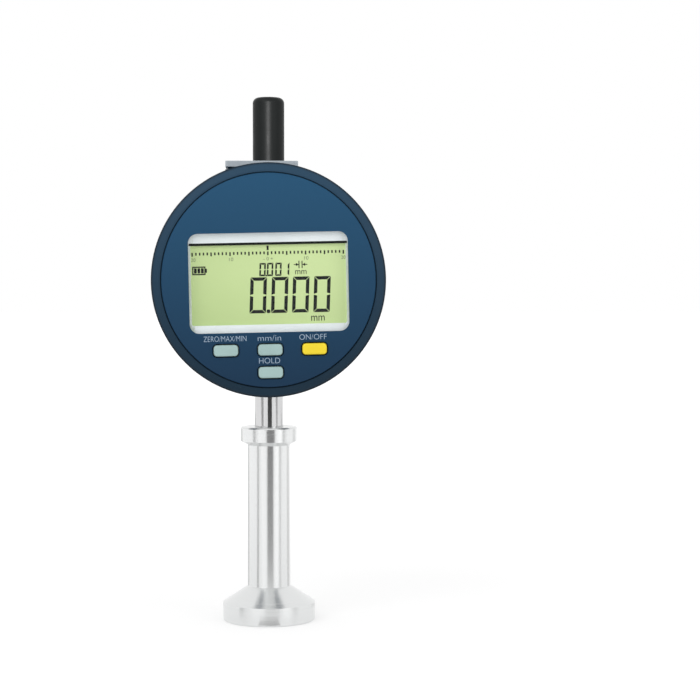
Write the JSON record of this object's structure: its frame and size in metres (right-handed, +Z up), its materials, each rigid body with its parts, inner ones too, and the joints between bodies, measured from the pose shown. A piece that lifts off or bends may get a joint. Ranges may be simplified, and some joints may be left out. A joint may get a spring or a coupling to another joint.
{
  "type": "surface profile gauge",
  "caption": "Digital surface profile gauge: a round display head with keys on a drum case, its stem clamped in a turned metal base with a spring-loaded needle tip.",
  "frame": {"origin": "the needle tip's point at zero, in the middle of the foot's flat underside", "axes": "+Z up along the spindle; the display faces -Y, and +X is to the right of someone reading it"},
  "size_m": [0.064, 0.043, 0.1466],
  "materials": {
    "turned_steel": "polished, turned",
    "stem_chrome": "hard chromed, ground",
    "ground_steel": "ground",
    "bush_brass": "machined",
    "spring_steel": "wire",
    "screw_steel": "zinc plated",
    "case_blue": "fine moulded grain",
    "rim_blue": "satin",
    "face_blue": "smooth printed film",
    "cover_blue": "fine moulded grain",
    "plate_grey": "satin anodised",
    "cap_black": "fine moulded grain",
    "lens_clear": "clear, glossy",
    "frame_white": "smooth",
    "lcd_green": "display glass",
    "light_guide": "milky",
    "key_grey": "smooth moulded",
    "key_yellow": "smooth moulded",
    "board_green": "solder mask",
    "chip_black": "moulded package",
    "cell_silver": "pouch foil",
    "rubber_black": "matt",
    "contact_silver": "stamped",
    "scale_glass": "etched"
  },
  "bodies": {
    "gauge": {"base": "turned_steel", "clamp_screw": "screw_steel", "stem": "stem_chrome", "lower_bush": "bush_brass", "upper_bush": "bush_brass", "buffer_washer": "rubber_black", "rear_case": "case_blue", "back_cover": "cover_blue", "back_screws": "screw_steel", "top_plate": "plate_grey", "plate_screws": "screw_steel", "spindle_cap": "cap_black", "guide_post": "ground_steel", "swivel_stop_pin": "ground_steel", "reader_board": "board_green", "reader_screws": "screw_steel", "reader_chips": "chip_black", "return_spring": "spring_steel"},
    "head": {"head_housing": "rim_blue", "face_plate": "face_blue", "display_lens": "lens_clear", "lcd_frame": "frame_white", "lcd_panel": "lcd_green", "backlight": "light_guide", "lcd_connectors": "rubber_black", "main_board": "board_green", "board_chips": "chip_black", "battery_cell": "cell_silver", "key_switches": "contact_silver", "usb_socket": "contact_silver", "head_back": "cover_blue", "head_screws": "screw_steel", "swivel_ring": "ground_steel", "swivel_ring_screws": "screw_steel", "swivel_seal": "rubber_black"},
    "plunger": {"spindle": "ground_steel", "extension_rod": "ground_steel", "contact_tip": "ground_steel", "scale_carrier": "plate_grey", "carrier_screw": "screw_steel", "scale_strip": "scale_glass"},
    "zero_key": {"zero_key": "key_grey"},
    "unit_key": {"unit_key": "key_grey"},
    "power_key": {"power_key": "key_yellow"},
    "hold_key": {"hold_key": "key_grey"}
  },
  "joints": [
    {"name": "head_swivel", "type": "hinge", "parent": "gauge", "child": "head", "pos_m": [0, -0.0063, 0.0956], "axis": [0, 1, 0], "range_deg": [-133.8, 136.2]},
    {"name": "plunger_slide", "type": "slide", "parent": "gauge", "child": "plunger", "axis": [0, 0, 1], "range_m": [-0.0032, 0.0095], "stiffness_N_per_m": 60, "springref_m": -0.0117, "deforming": ["return_spring"]},
    {"name": "zero_key_press", "type": "slide", "parent": "head", "child": "zero_key", "axis": [0, 1, 0], "range_m": [0, 0.0005], "stiffness_N_per_m": 400, "springref_m": -0.0005},
    {"name": "unit_key_press", "type": "slide", "parent": "head", "child": "unit_key", "axis": [0, 1, 0], "range_m": [0, 0.0005], "stiffness_N_per_m": 400, "springref_m": -0.0005},
    {"name": "power_key_press", "type": "slide", "parent": "head", "child": "power_key", "axis": [0, 1, 0], "range_m": [0, 0.0005], "stiffness_N_per_m": 400, "springref_m": -0.0005},
    {"name": "hold_key_press", "type": "slide", "parent": "head", "child": "hold_key", "axis": [0, 1, 0], "range_m": [0, 0.0005], "stiffness_N_per_m": 400, "springref_m": -0.0005}
  ]
}
